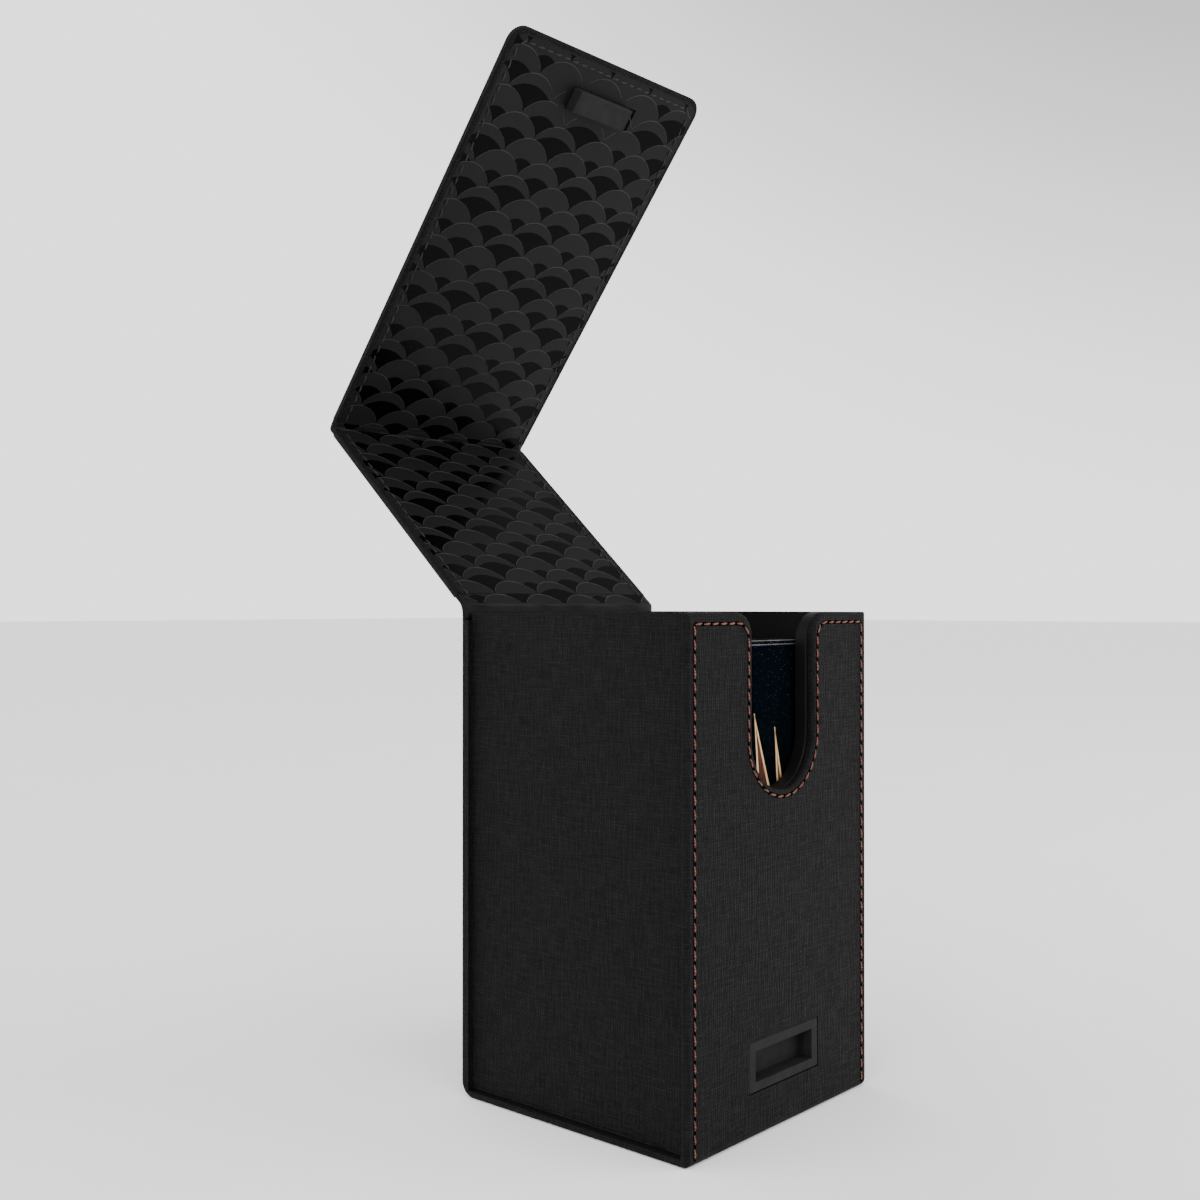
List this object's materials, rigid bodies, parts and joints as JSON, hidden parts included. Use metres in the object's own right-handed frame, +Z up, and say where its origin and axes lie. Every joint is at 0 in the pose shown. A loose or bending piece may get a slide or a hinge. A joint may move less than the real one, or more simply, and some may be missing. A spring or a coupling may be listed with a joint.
{
  "type": "flip-top card deck box",
  "caption": "Tall leatherette deck box with a two-panel flip lid and plug-in front catch, a thumb notch, a covered dice tray and a deck of sleeved cards.",
  "frame": {"origin": "centre of the box's base, on the surface it stands on", "axes": "+Z up, -Y towards the stitched front with the thumb notch, +X to the right when facing +Y"},
  "size_m": [0.081, 0.1372, 0.2885],
  "materials": {
    "leatherette": "matt, fine woven emboss",
    "board": "matt black-dyed board",
    "smooth_lining": "smooth satin",
    "patterned_lining": "matt with a glossy scallop pattern",
    "thread": "dusty terracotta polyester thread",
    "dark_thread": "charcoal polyester thread",
    "catch_plastic": "fine matt",
    "tray_plastic": "fine matt",
    "felt": "soft felt",
    "plate_steel": "plain",
    "magnet": "nickel plated",
    "cards": "stacked dark cards in clear sleeves",
    "printed_card": "printed, near-black navy with gold line art",
    "sleeve": "clear film"
  },
  "bodies": {
    "tub": {"front_board": "board", "front_cover": "leatherette", "front_stitching": "thread", "bottom_board": "board", "bottom_cover": "leatherette", "back_board": "board", "back_cover": "leatherette", "tub_front_board": "board", "tub_back_board": "board", "tub_left_board": "board", "tub_right_board": "board", "tub_floor_board": "board", "left_side_cover": "leatherette", "right_side_cover": "leatherette", "front_lining": "smooth_lining", "back_lining": "smooth_lining", "left_lining": "smooth_lining", "right_lining": "smooth_lining", "floor_lining": "smooth_lining", "socket_housing": "catch_plastic", "socket_magnets": "magnet", "rear_hinge_strip": "leatherette"},
    "lid": {"lid_board": "board", "lid_cover": "leatherette", "lid_lining": "patterned_lining", "lid_stitching": "dark_thread", "fold_hinge_strip": "leatherette"},
    "flap": {"flap_board": "board", "flap_cover": "leatherette", "flap_lining": "patterned_lining", "flap_stitching": "dark_thread", "catch_plate": "plate_steel", "catch_plug": "catch_plastic", "catch_magnet": "magnet"},
    "tray": {"tray_body": "tray_plastic", "tray_liner": "felt"},
    "tray_lid": {"tray_lid_board": "board", "tray_lid_cover": "felt"},
    "deck": {"card_stack": "cards"},
    "sleeved_card": {"front_card": "printed_card", "front_sleeve": "sleeve"}
  },
  "joints": [
    {"name": "lid_hinge", "type": "hinge", "parent": "tub", "child": "lid", "pos_m": [0, 0.0384, 0.1336], "axis": [-1, 0, 0], "range_deg": [-137.6, 80]},
    {"name": "flap_hinge", "type": "hinge", "parent": "lid", "child": "flap", "pos_m": [0, 0.09689, 0.18701], "axis": [-1, 0, 0], "range_deg": [-4.6, 85.4]},
    {"name": "tray_lift", "type": "slide", "parent": "tub", "child": "tray", "axis": [0, 0, 1], "range_m": [0, 0.13]},
    {"name": "tray_lid_lift", "type": "slide", "parent": "tray", "child": "tray_lid", "axis": [0, 0, 1], "range_m": [0, 0.06]},
    {"name": "deck_lift", "type": "slide", "parent": "tray_lid", "child": "deck", "axis": [0, 0, 1], "range_m": [0, 0.1]},
    {"name": "front_card_lift", "type": "slide", "parent": "tray_lid", "child": "sleeved_card", "axis": [0, 0, 1], "range_m": [0, 0.1]}
  ]
}
